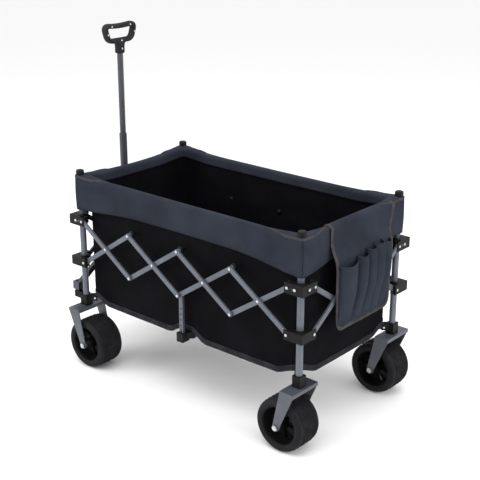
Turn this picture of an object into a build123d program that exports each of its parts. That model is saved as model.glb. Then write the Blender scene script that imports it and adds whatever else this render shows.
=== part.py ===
"""Folding camp wagon: four posts joined by crossing bars, on wide wheels, with a fabric tub and a pull handle.

Millimetres, +Z up, ground at Z 0.  -X is the front (handle) end, +X the rear (pocket) end,
-Y the left side and +Y the right side.  Every sub-part goes to its own STEP file in parts/.
"""
import os
from math import cos, hypot, pi, sin

from build123d import *

os.makedirs("parts", exist_ok=True)

# ---- overall sizes
LENGTH = 960.0          # between front and rear post axes
PLATE_Z = 220.0         # ground to the underside of the bottom collars
POST_TOP = 719.0        # top of the post caps
PIVOT_UP = 324.0        # fixed pivots above the collars' underside
PIVOT_LOW = 172.0       # sliding pivots above the collars' underside
SETBACK = 29.0          # pivot to post axis, along a side
LONG_UNITS = 4          # crossing pairs on a long side
SHORT_UNITS = 2         # crossing pairs on a short side
UNIT = (LENGTH - 2 * SETBACK) / LONG_UNITS
WIDTH = SHORT_UNITS * UNIT + 2 * SETBACK
HALF_W = WIDTH / 2

# ---- tubes, bars and rivets
POST_R = 11.0
POST_WALL = 1.5
BAR_W = 16.0
BAR_T = 7.0
BAR_WALL = 2.0
INNER_LAYER = POST_R + 2.0               # inner face of the inner bars, out from the post axis
OUTER_LAYER = INNER_LAYER + BAR_T + 1.0  # inner face of the outer bars
RIVET_R = 3.0
RIVET_HEAD_R = 4.5
RIVET_BACK_R = BAR_W / 2 - BAR_WALL + 0.8
RIVET_HEAD_T = 1.4
RUN = 0.05              # radial clearance of every turning pin
SLIP = 0.1              # end clearance beside a turning part

# ---- plastic fittings
SLEEVE = 15.0           # half width of a bracket around its post
ARM_OUT = OUTER_LAYER + BAR_T + 3.0
ARM_IN = POST_R - 0.5
ARM_END = SETBACK + 10.0
BRACKET_H = 34.0
SLIDER_H = 32.0
COLLAR_H = 38.0
STEM_R = 7.0
STEM_H = 12.0
CAP_R = 14.0
CAP_H = 20.0

# ---- floor frame
ARM_W = 12.0
ARM_H = 16.0
ARM_Z = PLATE_Z + 24.0
ARM_PIVOT = 30.0        # pivot out from the post axis, towards the hub
HUB_GAP = 60.0          # arm end to hub centre
HUB_R = 80.0
HUB_T = 3.7
EAR_T = 4.0
FLOOR_PIN_R = 3.5

# ---- middle struts
STRUT_W = 16.0
STRUT_T = 9.0
STRUT_IN = 3.0

# ---- wheels
WHEEL_R = 89.0
WHEEL_W = 100.0
RIM_R = 60.0
HUB_WHEEL_R = 17.0
AXLE_R = 6.0
TRAIL = 40.0
FORK_IN = 58.5
FORK_T = 3.5
FORK_X = 26.0

# ---- handle
YOKE_OUT = 52.0         # yoke plane out from the front post axis
YOKE_T = 14.0
YOKE_W = 20.0
YOKE_HALF = 15.0
YOKE_SIDE = 11.0        # yoke pivot in from the post axis
APEX_SIDE = SETBACK - YOKE_SIDE
TILT_Z = PLATE_Z + 25.0
YOKE_Z = TILT_Z + 32.0
YOKE_PIN_R = 4.0
HANDLE_R = 13.5
INNER_R = 10.5
OUTER_TOP = 790.0
GRIP_TOP = 1180.0
GRIP_W = 165.0
GRIP_H = 92.0
GRIP_T = 26.0
GRIP_BAR = 24.0

# ---- fabric
INSET = SLEEVE + 1.5    # tub wall in from the post axes
CLOTH = 3.0
TUB_FLOOR = ARM_Z + ARM_H / 2 + 7.0
TUB_TOP = POST_TOP - 24.0
MAT_T = 8.0
PANEL_OUT = ARM_OUT + 2.0
POCKET_D = 13.0
POCKET_SKIN = 2.0
PANEL_TOP = TUB_TOP - 52.0
PANEL_LOW = 372.0
POCKETS = [(-112, -24, 572), (-24, 24, 578), (24, 68, 592), (68, 112, 598), (112, 154, 590)]

# ---- the origin is at the middle of the whole bounding box
FRONT_REACH = YOKE_OUT + YOKE_HALF
REAR_REACH = PANEL_OUT + CLOTH + POCKET_D + POCKET_SKIN
SHIFT = (FRONT_REACH - REAR_REACH) / 2
XF = -LENGTH / 2 + SHIFT
XR = LENGTH / 2 + SHIFT
XM = SHIFT
Z_UP = PLATE_Z + PIVOT_UP
Z_LOW = PLATE_Z + PIVOT_LOW
UP = Vector(0, 0, 1)

POSTS = {
    "front_left": (XF, -HALF_W),
    "front_right": (XF, HALF_W),
    "rear_left": (XR, -HALF_W),
    "rear_right": (XR, HALF_W),
}
# name: (start corner, direction along, direction outward, units, falling bars are the outer ones)
SIDES = {
    "left": ((XF, -HALF_W), Vector(1, 0, 0), Vector(0, -1, 0), LONG_UNITS, True),
    "right": ((XF, HALF_W), Vector(1, 0, 0), Vector(0, 1, 0), LONG_UNITS, False),
    "front": ((XF, -HALF_W), Vector(0, 1, 0), Vector(-1, 0, 0), SHORT_UNITS, True),
    "rear": ((XR, -HALF_W), Vector(0, 1, 0), Vector(1, 0, 0), SHORT_UNITS, False),
}


def save(name, pieces):
    """Write the closed solids of one sub-part to parts/NAME.step."""
    solids = [solid for piece in pieces for solid in piece.solids()]
    export_step(Compound(label=name, children=solids), f"parts/{name}.step")


def block(x0, x1, y0, y1, z0, z1):
    """Box between two corners given in any order."""
    centre = Pos((x0 + x1) / 2, (y0 + y1) / 2, (z0 + z1) / 2)
    return centre * Box(abs(x1 - x0), abs(y1 - y0), abs(z1 - z0))


def rod(point, axis, radius, start, end):
    """Cylinder on the line through point along axis, between two distances from the point."""
    middle = Pos(0, 0, (start + end) / 2)
    return Plane(origin=point, z_dir=axis).location * middle * Cylinder(radius, end - start)


def on_side(side, along, out, z):
    """Point of a side: distance along from the start post, distance out from the post axes, height."""
    (x, y), run, outward, _, _ = SIDES[side]
    return Vector(x, y, z) + run * along + outward * out


def is_outer(side, falling):
    """Whether a side's falling (or rising) bars are in the outer layer."""
    return falling == SIDES[side][4]


def layer(outer):
    """Inner and outer face of a layer of bars, out from the post axes."""
    low = OUTER_LAYER if outer else INNER_LAYER
    return low, low + BAR_T


def rivet(side, along, z, inner_face, owner_outer):
    """Rivet through both layers: snug on its own bar, a slip gap beside the other."""
    start = inner_face - (SLIP if owner_outer else 0)
    end = OUTER_LAYER + BAR_T + (0 if owner_outer else SLIP)
    base = on_side(side, along, 0, z)
    outward = SIDES[side][2]
    shaft = rod(base, outward, RIVET_R, start - RIVET_HEAD_T, end + RIVET_HEAD_T)
    front = rod(base, outward, RIVET_HEAD_R, end, end + RIVET_HEAD_T)
    back = rod(base, outward, RIVET_BACK_R, start - RIVET_HEAD_T, start)
    return shaft + front + back


def make_bar():
    """Formed channel with round ends and three rivet holes, its closed face at +Z."""
    length = hypot(UNIT, Z_UP - Z_LOW)
    body = extrude(SlotCenterToCenter(length, BAR_W), BAR_T)
    body = chamfer(body.faces().sort_by(Axis.Z)[-1].edges(), 0.8)
    body -= extrude(SlotCenterToCenter(length, BAR_W - 2 * BAR_WALL), BAR_T - BAR_WALL)
    for x in (-length / 2, 0, length / 2):
        body -= Pos(x, 0, BAR_T / 2) * Cylinder(RIVET_R + RUN, BAR_T * 2)
    return body


def place_bar(bar, side, unit, falling):
    """Put the common bar in its layer, falling from an upper pivot or rising from a lower one."""
    low, _ = layer(is_outer(side, falling))
    middle = on_side(side, SETBACK + (unit - 0.5) * UNIT, low, (Z_UP + Z_LOW) / 2)
    rise = Z_LOW - Z_UP if falling else Z_UP - Z_LOW
    direction = SIDES[side][1] * UNIT + UP * rise
    return Plane(origin=middle, x_dir=direction, z_dir=SIDES[side][2]).location * bar


def side_bars(side):
    """All bars of one side, each with the rivets that it carries."""
    bar = make_bar()
    units = SIDES[side][3]
    for unit in range(1, units + 1):
        for falling in (True, False):
            kind = "fall" if falling else "rise"
            outer = is_outer(side, falling)
            pieces = [place_bar(bar, side, unit, falling)]
            if falling == (unit % 2 == 1):
                middle = (Z_UP + Z_LOW) / 2
                pieces.append(rivet(side, SETBACK + (unit - 0.5) * UNIT, middle, INNER_LAYER, outer))
            if unit < units:
                z = Z_LOW if falling else Z_UP
                strut = falling and units == LONG_UNITS and unit == LONG_UNITS // 2
                inner_face = STRUT_IN if strut else INNER_LAYER
                pieces.append(rivet(side, SETBACK + unit * UNIT, z, inner_face, outer))
            save(f"{side}_{kind}_{unit}", pieces)


def corner_sides(corner):
    """The long and short side that meet at a post, and whether the post starts or ends each."""
    long_side = "left" if corner.endswith("left") else "right"
    short_side = "front" if corner.startswith("front") else "rear"
    starts_long = corner.startswith("front")
    starts_short = corner.endswith("left")
    return ((long_side, starts_long), (short_side, starts_short))


def bracket(corner, z_mid, height, upper, bore):
    """L-shaped bracket around a post with a slotted arm on each side, and its rivets."""
    x, y = POSTS[corner]
    z0 = z_mid - height / 2
    z1 = z_mid + height / 2
    body = block(x - SLEEVE, x + SLEEVE, y - SLEEVE, y + SLEEVE, z0, z1)
    rivets = []
    slots = []
    for side, starts in corner_sides(corner):
        run = SIDES[side][1] * (1 if starts else -1)
        outward = SIDES[side][2]
        base = Vector(x, y, 0)
        near = base - run * ARM_OUT + outward * ARM_IN
        far = base + run * ARM_END + outward * ARM_OUT
        body += block(near.X, far.X, near.Y, far.Y, z0, z1)
        falling = starts == upper
        low, high = layer(is_outer(side, falling))
        near = base + run * (SETBACK - BAR_W / 2 - 1.5) + outward * (low - 0.3)
        far = base + run * (ARM_END + 5) + outward * (high + 0.3)
        slots.append(block(near.X, far.X, near.Y, far.Y, z0 - 1, z1 + 1))
        pin = base + run * SETBACK + UP * z_mid
        shaft = rod(pin, outward, RIVET_R, ARM_IN - RIVET_HEAD_T, ARM_OUT + RIVET_HEAD_T)
        shaft += rod(pin, outward, RIVET_HEAD_R, ARM_OUT, ARM_OUT + RIVET_HEAD_T)
        shaft += rod(pin, outward, RIVET_HEAD_R, ARM_IN - RIVET_HEAD_T, ARM_IN)
        rivets.append(shaft)
        if upper:
            pin = base + UP * z_mid
            fixing = rod(pin, outward, RIVET_R, POST_R + 3, ARM_OUT + RIVET_HEAD_T)
            rivets.append(fixing + rod(pin, outward, RIVET_HEAD_R, ARM_OUT, ARM_OUT + RIVET_HEAD_T))
    for slot in slots:
        body -= slot
    for piece in rivets:
        body -= piece
    body -= rod(Vector(x, y, 0), UP, bore, z0 - 1, z1 + 1)
    return [body] + rivets


def hub_direction(corner):
    """Unit vector in plan from a post towards the middle of its half of the floor."""
    x, y = POSTS[corner]
    target = (XM + (XF if corner.startswith("front") else XR)) / 2
    return Vector(target - x, -y, 0).normalized()


def floor_clevis(x, y, direction):
    """Pair of ears for one floor arm, and the pin across them."""
    frame = Plane(origin=(x, y, ARM_Z), x_dir=direction, z_dir=UP).location
    ears = []
    for sign in (-1, 1):
        offset = sign * (ARM_W / 2 + 0.2 + EAR_T / 2)
        ears.append(frame * Pos(ARM_PIVOT - 7, offset, 1) * Box(30, EAR_T, ARM_H + 6))
    across = direction.cross(UP)
    centre = Vector(x, y, ARM_Z) + direction * ARM_PIVOT
    reach = ARM_W / 2 + 0.2 + EAR_T
    pin = rod(centre, across, FLOOR_PIN_R, -reach - 1.5, reach + 1.5)
    return ears, pin


def floor_arm(x, y, direction):
    """Channel arm, open below, from its clevis to just short of the hub."""
    half = hypot(LENGTH / 4, HALF_W)
    length = half - ARM_PIVOT - HUB_GAP - ARM_H / 2
    across = direction.cross(UP)
    start = Vector(x, y, ARM_Z) + direction * ARM_PIVOT
    middle = start + direction * (length / 2) - across * (ARM_W / 2)
    frame = Plane(origin=middle, x_dir=direction, z_dir=across).location
    arm = frame * extrude(SlotCenterToCenter(length, ARM_H), ARM_W)
    recess = Plane(origin=start + direction * (length / 2), x_dir=direction, z_dir=UP).location
    arm -= recess * Pos(0, 0, -4) * Box(length - 30, ARM_W - 4, ARM_H - 4)
    arm -= rod(start, across, FLOOR_PIN_R + RUN, -ARM_W, ARM_W)
    return arm


def hub(corner):
    """Round hub plate over the four arm ends, riveted to one of them."""
    x, y = POSTS[corner]
    direction = hub_direction(corner)
    centre = Vector(x, y, 0) + direction * hypot(LENGTH / 4, HALF_W)
    top = ARM_Z + ARM_H / 2
    plate = rod(centre, UP, HUB_R, top + 0.3, top + 0.3 + HUB_T)
    plate -= rod(centre, UP, 18, top, top + 10)
    spot = centre - direction * (HUB_R - 6)
    fixing = rod(spot, UP, RIVET_R, top - 3, top + HUB_T + 1.5)
    fixing += rod(spot, UP, RIVET_HEAD_R, top + 0.3 + HUB_T, top + HUB_T + 1.5)
    return plate - fixing, fixing


def post(corner):
    """Post tube, cap, riveted upper bracket and bottom collar, as one rigid group."""
    x, y = POSTS[corner]
    axis = Vector(x, y, 0)
    front = corner.startswith("front")
    tube_low = PLATE_Z + STEM_H
    tube_top = POST_TOP - CAP_H + 6
    tube = rod(axis, UP, POST_R, tube_low, tube_top)
    tube -= rod(axis, UP, POST_R - POST_WALL, tube_low - 1, tube_top + 1)
    cap = rod(axis, UP, CAP_R, POST_TOP - CAP_H, POST_TOP)
    cap = fillet(cap.faces().sort_by(Axis.Z)[-1].edges(), 5)
    cap -= rod(axis, UP, POST_R, POST_TOP - CAP_H - 1, tube_top)
    collar = block(x - SLEEVE, x + SLEEVE, y - SLEEVE, y + SLEEVE, PLATE_Z, PLATE_Z + COLLAR_H)
    ears, pin = floor_clevis(x, y, hub_direction(corner))
    for ear in ears:
        collar += ear
    pins = [pin]
    if front:
        inward = 1 if y < 0 else -1
        middle = y + inward * YOKE_SIDE
        x_pin = x - YOKE_OUT
        for sign in (-1, 1):
            near = middle + sign * (YOKE_T / 2 + 1)
            far = near + sign * 4.5
            collar += block(x_pin - 10, x - 5, near, far, TILT_Z - 12, TILT_Z + 12)
        collar += block(x_pin + 24, x - 5, middle - 12, middle + 12, TILT_Z - 16, TILT_Z + 12)
        reach = YOKE_T / 2 + 5.5
        pin = rod(Vector(x_pin, middle, TILT_Z), Vector(0, 1, 0), YOKE_PIN_R, -reach - 2, reach + 2)
        pins.append(pin)
    for piece in pins:
        collar -= piece
    collar -= rod(axis, UP, POST_R, tube_low, PLATE_Z + COLLAR_H + 1)
    collar -= rod(axis, UP, STEM_R + RUN, PLATE_Z - 1, tube_low + 1)
    upper = bracket(corner, Z_UP, BRACKET_H, True, POST_R)
    save(f"post_{corner}", [tube, cap, collar] + pins + upper)


def slider(corner):
    """Lower bracket, free to slide on its post."""
    save(f"slider_{corner}", bracket(corner, Z_LOW, SLIDER_H, False, POST_R + 0.08))


def strut(side):
    """Middle strut of a long side with the foot that carries two floor arms."""
    middle = SETBACK + LONG_UNITS / 2 * UNIT
    outward = SIDES[side][2]
    centre = on_side(side, middle, 0, 0)
    out = outward.Y
    inner = centre.Y + out * STRUT_IN
    outer = centre.Y + out * (STRUT_IN + STRUT_T)
    low = PLATE_Z + 8
    channel = block(centre.X - STRUT_W / 2, centre.X + STRUT_W / 2, inner, outer, low, Z_LOW)
    channel += rod(on_side(side, middle, 0, Z_LOW), outward, STRUT_W / 2, STRUT_IN, STRUT_IN + STRUT_T)
    hollow = block(
        centre.X - STRUT_W / 2 + 2, centre.X + STRUT_W / 2 - 2, inner - out, outer - out * 2, low + 4, Z_LOW - 12
    )
    channel -= hollow
    for z in (PLATE_Z + 62, PLATE_Z + 82, PLATE_Z + 102, PLATE_Z + 122):
        channel -= rod(Vector(centre.X, centre.Y, z), outward, 3, 0, STRUT_IN + STRUT_T + 2)
    channel -= rod(on_side(side, middle, 0, Z_LOW), outward, RIVET_R + RUN, 0, STRUT_IN + STRUT_T + 2)
    foot = block(centre.X - 14, centre.X + 14, centre.Y - out * 12, centre.Y + out * 20, PLATE_Z + 5, PLATE_Z + 36)
    pins = []
    for target in (XF, XR):
        direction = Vector((target - XM) / 2, -centre.Y, 0).normalized()
        ears, pin = floor_clevis(centre.X, centre.Y, direction)
        for ear in ears:
            foot += ear
        pins.append(pin)
    for piece in pins:
        foot -= piece
    for target in (XF, XR):
        direction = Vector((target - XM) / 2, -centre.Y, 0).normalized()
        room = Plane(origin=(centre.X, centre.Y, ARM_Z), x_dir=direction, z_dir=UP).location
        foot -= room * Pos(ARM_PIVOT + 15, 0, 0) * Box(50, ARM_W + 0.4, ARM_H + 60)
    foot -= block(centre.X - STRUT_W / 2, centre.X + STRUT_W / 2, inner, outer, low, PLATE_Z + 40)
    save(f"strut_{side}", [channel, foot] + pins)


def wheel(corner):
    """Wide tyre with grooves on a hollow barrel rim with five spokes."""
    x, y = POSTS[corner]
    x += TRAIL if corner.startswith("front") else -TRAIL
    half = WHEEL_W / 2
    profile = [
        (RIM_R, -half + 4), (WHEEL_R - 13, -half), (WHEEL_R - 5, -half + 4), (WHEEL_R - 1, -half + 18),
        (WHEEL_R, -half + 26), (WHEEL_R, -15), (WHEEL_R - 3, -14), (WHEEL_R - 3, -11), (WHEEL_R, -10),
        (WHEEL_R, 10), (WHEEL_R - 3, 11), (WHEEL_R - 3, 14), (WHEEL_R, 15), (WHEEL_R, half - 26),
        (WHEEL_R - 1, half - 18), (WHEEL_R - 5, half - 4), (WHEEL_R - 13, half), (RIM_R, half - 4),
    ]
    section = make_face(Polyline(*[(r, 0, w) for r, w in profile], close=True))
    tyre = revolve(section, Axis.Z)
    rim = Cylinder(RIM_R, WHEEL_W - 8) - Cylinder(RIM_R - 5, WHEEL_W)
    rim += Cylinder(HUB_WHEEL_R, WHEEL_W + 4)
    for index in range(5):
        rim += Rot(0, 0, 72 * index + 18) * Pos(RIM_R / 2, 0, 0) * Box(RIM_R - 8, 13, WHEEL_W * 0.55)
    rim -= Cylinder(AXLE_R + RUN, WHEEL_W + 10)
    turn = Pos(x, y, WHEEL_R) * Rot(90, 0, 0)
    save(f"wheel_{corner}", [turn * tyre, turn * rim])


def fork(corner):
    """Folded steel fork with its axle; the front ones turn on a stem in the collar."""
    x, y = POSTS[corner]
    front = corner.startswith("front")
    trail = TRAIL if front else -TRAIL
    top = PLATE_Z - (0.3 if front else 0)
    wide = FORK_IN + FORK_T
    body = block(x - FORK_X, x + FORK_X, y - wide, y + wide, top - FORK_T, top)
    for sign in (-1, 1):
        edge = x + sign * FORK_X
        body += block(edge, edge - sign * FORK_T, y - wide, y + wide, top - 12, top)
        outline = make_hull(
            (
                Pos(x - FORK_X + 3, top - 6) * Circle(3).edge(),
                Pos(x + FORK_X - 3, top - 6) * Circle(3).edge(),
                Pos(x + trail, WHEEL_R) * Circle(12).edge(),
            )
        )
        plane = Plane(origin=(0, y + sign * (FORK_IN + FORK_T / 2), 0), x_dir=(1, 0, 0), z_dir=(0, -1, 0))
        body += plane.location * extrude(outline, FORK_T / 2, both=True)
    axle_line = Vector(x + trail, y, WHEEL_R)
    across = Vector(0, 1, 0)
    axle = rod(axle_line, across, AXLE_R, -wide - 6, wide + 6)
    for sign in (-1, 1):
        ends = sorted((sign * wide, sign * (wide + 5)))
        axle += rod(axle_line, across, 9, *ends)
        ends = sorted((sign * (WHEEL_W / 2 + 2.2), sign * FORK_IN))
        axle += rod(axle_line, across, 10, *ends)
    body -= rod(axle_line, across, AXLE_R, -wide - 6, wide + 6)
    stem = rod(Vector(x, y, 0), UP, STEM_R, top, PLATE_Z + STEM_H - 1)
    save(f"fork_{corner}", [body + stem, axle])


def yoke_hinge(hand):
    """Block that tilts on the collar's pin and carries the foot of one yoke arm."""
    sign = -1 if hand == "left" else 1
    x = XF - YOKE_OUT
    y = sign * (HALF_W - YOKE_SIDE)
    tongue = block(x - 9, x + 9, y - YOKE_T / 2 - 0.8, y + YOKE_T / 2 + 0.8, TILT_Z - 9, TILT_Z + 20)
    body = block(x - YOKE_HALF, x + YOKE_HALF, y - 14, y + 14, TILT_Z + 17, YOKE_Z + 15)
    back = y + sign * (YOKE_W / 2 + 0.6)
    body -= block(x - YOKE_T / 2 - 0.3, x + YOKE_T / 2 + 0.3, back, y - sign * 20, YOKE_Z - 11, YOKE_Z + 20)
    body += tongue
    body -= rod(Vector(x, y, TILT_Z), Vector(0, 1, 0), YOKE_PIN_R + RUN, -20, 20)
    pin = rod(Vector(x, y, YOKE_Z), Vector(1, 0, 0), YOKE_PIN_R, -YOKE_HALF, YOKE_HALF)
    save(f"yoke_hinge_{hand}", [body - pin, pin])


def yoke_arm(hand):
    """Flat arm from a yoke hinge up to the foot of the handle, parallel to the end bars."""
    sign = -1 if hand == "left" else 1
    length = hypot(UNIT, Z_UP - Z_LOW)
    foot = Vector(XF - YOKE_OUT, sign * (HALF_W - YOKE_SIDE), YOKE_Z)
    head = Vector(XF - YOKE_OUT, sign * APEX_SIDE, YOKE_Z + Z_UP - Z_LOW)
    across = Vector(1, 0, 0)
    middle = (foot + head) / 2 - across * (YOKE_T / 2)
    frame = Plane(origin=middle, x_dir=head - foot, z_dir=across).location
    arm = frame * extrude(SlotCenterToCenter(length, YOKE_W), YOKE_T)
    for point in (foot, head):
        arm -= rod(point, across, YOKE_PIN_R + RUN, -YOKE_T, YOKE_T)
    save(f"yoke_arm_{hand}", [arm])


def handle():
    """Foot block and outer tube, sliding inner tube, and the closed grip."""
    x = XF - YOKE_OUT
    axis = Vector(x, 0, 0)
    apex = YOKE_Z + Z_UP - Z_LOW
    foot = block(x - YOKE_HALF, x + YOKE_HALF, -30, 30, apex - 13, apex + 22)
    foot -= block(x - YOKE_T / 2 - 0.3, x + YOKE_T / 2 + 0.3, -31, 31, apex - 14, apex + 11)
    foot += rod(axis, UP, YOKE_HALF, apex + 15, apex + 48)
    tube_low = apex + 13
    foot -= rod(axis, UP, HANDLE_R, tube_low, apex + 60)
    pins = []
    for sign in (-1, 1):
        point = Vector(x, sign * APEX_SIDE, apex)
        pins.append(rod(point, Vector(1, 0, 0), YOKE_PIN_R, -YOKE_HALF, YOKE_HALF))
    for pin in pins:
        foot -= pin
    outer = rod(axis, UP, HANDLE_R, tube_low, OUTER_TOP)
    outer -= rod(axis, UP, INNER_R + 0.08, tube_low - 1, OUTER_TOP + 1)
    save("handle_outer_tube", [foot, outer] + pins)
    grip_low = GRIP_TOP - GRIP_H
    inner_top = grip_low + 6
    inner = rod(axis, UP, INNER_R, OUTER_TOP - 90, inner_top)
    inner -= rod(axis, UP, INNER_R - 1.5, OUTER_TOP - 91, inner_top + 1)
    save("handle_inner_tube", [inner])
    face = Plane(origin=(x, 0, GRIP_TOP - GRIP_H / 2), x_dir=(0, 1, 0), z_dir=(1, 0, 0))
    ring = RectangleRounded(GRIP_W, GRIP_H, 34)
    ring -= Pos(0, 1) * RectangleRounded(GRIP_W - 2 * GRIP_BAR, GRIP_H - 2 * GRIP_BAR + 4, 16)
    ring = extrude(ring, GRIP_T / 2, both=True)
    ring = chamfer(ring.faces().sort_by(Axis.Z)[-1].edges(), 4)
    ring = chamfer(ring.faces().sort_by(Axis.Z)[0].edges(), 4)
    grip = face.location * ring
    grip += rod(axis, UP, 15, grip_low - 22, grip_low + 8)
    grip -= rod(axis, UP, INNER_R, grip_low - 30, inner_top)
    save("handle_grip", [grip])


def tub():
    """Open fabric tub inside the posts, with a sleeve around each post near the top."""
    x0 = XF + INSET
    x1 = XR - INSET
    y1 = HALF_W - INSET
    body = block(x0, x1, -y1, y1, TUB_FLOOR, TUB_TOP)
    low = max(TUB_TOP - 110, Z_UP + BRACKET_H / 2 + 4)
    high = TUB_TOP - 2
    for x, y in POSTS.values():
        sx = 1 if x < XM else -1
        sy = 1 if y < 0 else -1
        sleeve = rod(Vector(x, y, 0), UP, SLEEVE, low, high)
        sleeve += block(x, x + sx * (INSET + 2), y, y + sy * (INSET + 2), low, high)
        body += sleeve
    for x, y in POSTS.values():
        body -= rod(Vector(x, y, 0), UP, POST_R + 0.1, TUB_FLOOR, TUB_TOP + 1)
    body -= block(x0 + CLOTH, x1 - CLOTH, -y1 + CLOTH, y1 - CLOTH, TUB_FLOOR + CLOTH, TUB_TOP + 1)
    save("tub", [body])
    mat = block(x0 + 12, x1 - 12, -y1 + 12, y1 - 12, TUB_FLOOR + CLOTH, TUB_FLOOR + CLOTH + MAT_T)
    save("floor_mat", [mat])


def pocket_panel():
    """Panel over the rear end with five open-topped pockets, hung from the tub."""
    x0 = XR + PANEL_OUT
    x1 = x0 + CLOTH
    x2 = x1 + POCKET_D
    x3 = x2 + POCKET_SKIN
    low = PANEL_LOW + 6
    panel = block(x0, x1, POCKETS[0][0] - 8, POCKETS[-1][1] + 8, PANEL_LOW, PANEL_TOP)
    panel += block(XR - INSET, x1, POCKETS[0][0] - 8, POCKETS[-1][1] + 8, PANEL_TOP - CLOTH, PANEL_TOP)
    for y0, y1, mouth in POCKETS:
        panel += block(x1, x3, y0, y1, low, mouth)
    for y0, y1, mouth in POCKETS:
        panel -= block(x1, x2, y0 + POCKET_SKIN / 2, y1 - POCKET_SKIN / 2, low + POCKET_SKIN, mouth + 1)
    save("pocket_panel", [panel])


for name in SIDES:
    side_bars(name)
for name in POSTS:
    post(name)
    slider(name)
    wheel(name)
    fork(name)
for name in ("front_left", "rear_left"):
    base_x, base_y = POSTS[name]
    carried = hub(name)
    pieces = [floor_arm(base_x, base_y, hub_direction(name)) - carried[1], *carried]
    save(f"floor_arm_{name}", pieces)
for name in ("front_right", "rear_right"):
    base_x, base_y = POSTS[name]
    save(f"floor_arm_{name}", [floor_arm(base_x, base_y, hub_direction(name))])
for name, y_foot in (("left", -HALF_W), ("right", HALF_W)):
    strut(name)
    for end, target_x in (("front", XF), ("rear", XR)):
        aim = Vector((target_x - XM) / 2, -y_foot, 0).normalized()
        save(f"floor_arm_mid_{name}_{end}", [floor_arm(XM, y_foot, aim)])
    yoke_hinge(name)
    yoke_arm(name)
handle()
tub()
pocket_panel()
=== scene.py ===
import math

import bmesh
import bpy
import numpy as np
from mathutils import Euler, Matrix, Quaternion, Vector, noise


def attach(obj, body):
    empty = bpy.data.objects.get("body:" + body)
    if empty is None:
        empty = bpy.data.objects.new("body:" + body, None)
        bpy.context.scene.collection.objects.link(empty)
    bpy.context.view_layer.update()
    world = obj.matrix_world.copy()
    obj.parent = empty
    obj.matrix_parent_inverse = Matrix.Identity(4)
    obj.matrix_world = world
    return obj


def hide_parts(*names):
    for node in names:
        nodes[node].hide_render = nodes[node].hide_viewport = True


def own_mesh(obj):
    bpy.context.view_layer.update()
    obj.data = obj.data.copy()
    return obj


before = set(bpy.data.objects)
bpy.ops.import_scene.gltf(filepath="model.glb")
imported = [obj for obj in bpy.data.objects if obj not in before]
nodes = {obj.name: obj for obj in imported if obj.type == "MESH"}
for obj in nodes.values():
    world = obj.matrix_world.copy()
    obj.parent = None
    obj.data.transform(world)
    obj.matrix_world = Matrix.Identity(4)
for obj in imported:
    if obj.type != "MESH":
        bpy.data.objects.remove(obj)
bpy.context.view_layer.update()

# Sizes of the frame, in metres, as the CAD model has them.
LONG = 0.960
WIDE = 0.509
X_FRONT, X_MID, X_REAR = -0.472, 0.008, 0.488
HALF_WIDE = WIDE / 2
UNIT = 0.2255
SETBACK = 0.029
Z_JOINT = 0.544
RIM_Z = 0.693
HEM_Z = 0.231
WALL_INSET = 0.0175
WALL_CORNER = 0.024
CLOTH = 0.0022
WHEEL_Z = 0.089
Z_SLIDER = 0.392
ARM_Z = 0.244
WHEELS = {
    "wheel_front_left": (X_FRONT + 0.040, -HALF_WIDE),
    "wheel_front_right": (X_FRONT + 0.040, HALF_WIDE),
    "wheel_rear_left": (X_REAR - 0.040, -HALF_WIDE),
    "wheel_rear_right": (X_REAR - 0.040, HALF_WIDE),
}
POSTS = {
    "post_front_left": (X_FRONT, -HALF_WIDE),
    "post_front_right": (X_FRONT, HALF_WIDE),
    "post_rear_left": (X_REAR, -HALF_WIDE),
    "post_rear_right": (X_REAR, HALF_WIDE),
}
SIDE_BODY = {
    "left": "post_front_left",
    "right": "post_front_right",
    "front": "post_front_left",
    "rear": "post_rear_left",
}
SIDE_LENGTH = {"left": LONG, "right": LONG, "front": WIDE, "rear": WIDE}


def on_side(side, along, out, z):
    """A point by its distance along a side from the first post axis, and outward from the line of the axes."""
    if side == "left":
        return (X_FRONT + along, -HALF_WIDE - out, z)
    if side == "right":
        return (X_FRONT + along, HALF_WIDE + out, z)
    if side == "front":
        return (X_FRONT - out, -HALF_WIDE + along, z)
    return (X_REAR + out, -HALF_WIDE + along, z)


def ease(t):
    t = min(max(t, 0.0), 1.0)
    return t * t * (3 - 2 * t)


def between(value, table):
    return float(np.interp(value, [p[0] for p in table], [p[1] for p in table]))


def ripple(x, y, seed):
    return noise.noise(Vector((x, y, seed)))


# ---------------------------------------------------------------- finishes

def colour(r, g, b):
    return tuple(((c / 255 + 0.055) / 1.055) ** 2.4 for c in (r, g, b)) + (1.0,)


def add(tree, kind, inputs=None, **settings):
    made = tree.nodes.new(kind)
    for key, value in settings.items():
        setattr(made, key, value)
    for key, value in (inputs or {}).items():
        if isinstance(value, bpy.types.NodeSocket):
            tree.links.new(value, made.inputs[key])
        else:
            made.inputs[key].default_value = value
    return made


def new_finish(name, roughness, metallic=0.0, sheen=0.0, specular=0.5):
    material = bpy.data.materials.new(name)
    material.use_nodes = True
    shader = material.node_tree.nodes["Principled BSDF"]
    shader.inputs["Roughness"].default_value = roughness
    shader.inputs["Metallic"].default_value = metallic
    shader.inputs["Specular IOR Level"].default_value = specular
    shader.inputs["Sheen Weight"].default_value = sheen
    shader.inputs["Sheen Roughness"].default_value = 0.5
    return material, material.node_tree, shader


def ramp(tree, fac, stops):
    made = add(tree, "ShaderNodeValToRGB", {"Fac": fac})
    band = made.color_ramp
    while len(band.elements) < len(stops):
        band.elements.new(0.5)
    for element, (place, tint) in zip(band.elements, stops):
        element.position = place
        element.color = tint
    return made.outputs["Color"]


def mixed(tree, fac, first, second, blend="MIX"):
    made = add(tree, "ShaderNodeMix", {0: fac, 6: first, 7: second}, data_type="RGBA", blend_type=blend)
    return made.outputs[2]


def maths(tree, kind, first, second=0.0):
    return add(tree, "ShaderNodeMath", {0: first, 1: second}, operation=kind).outputs[0]


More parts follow.
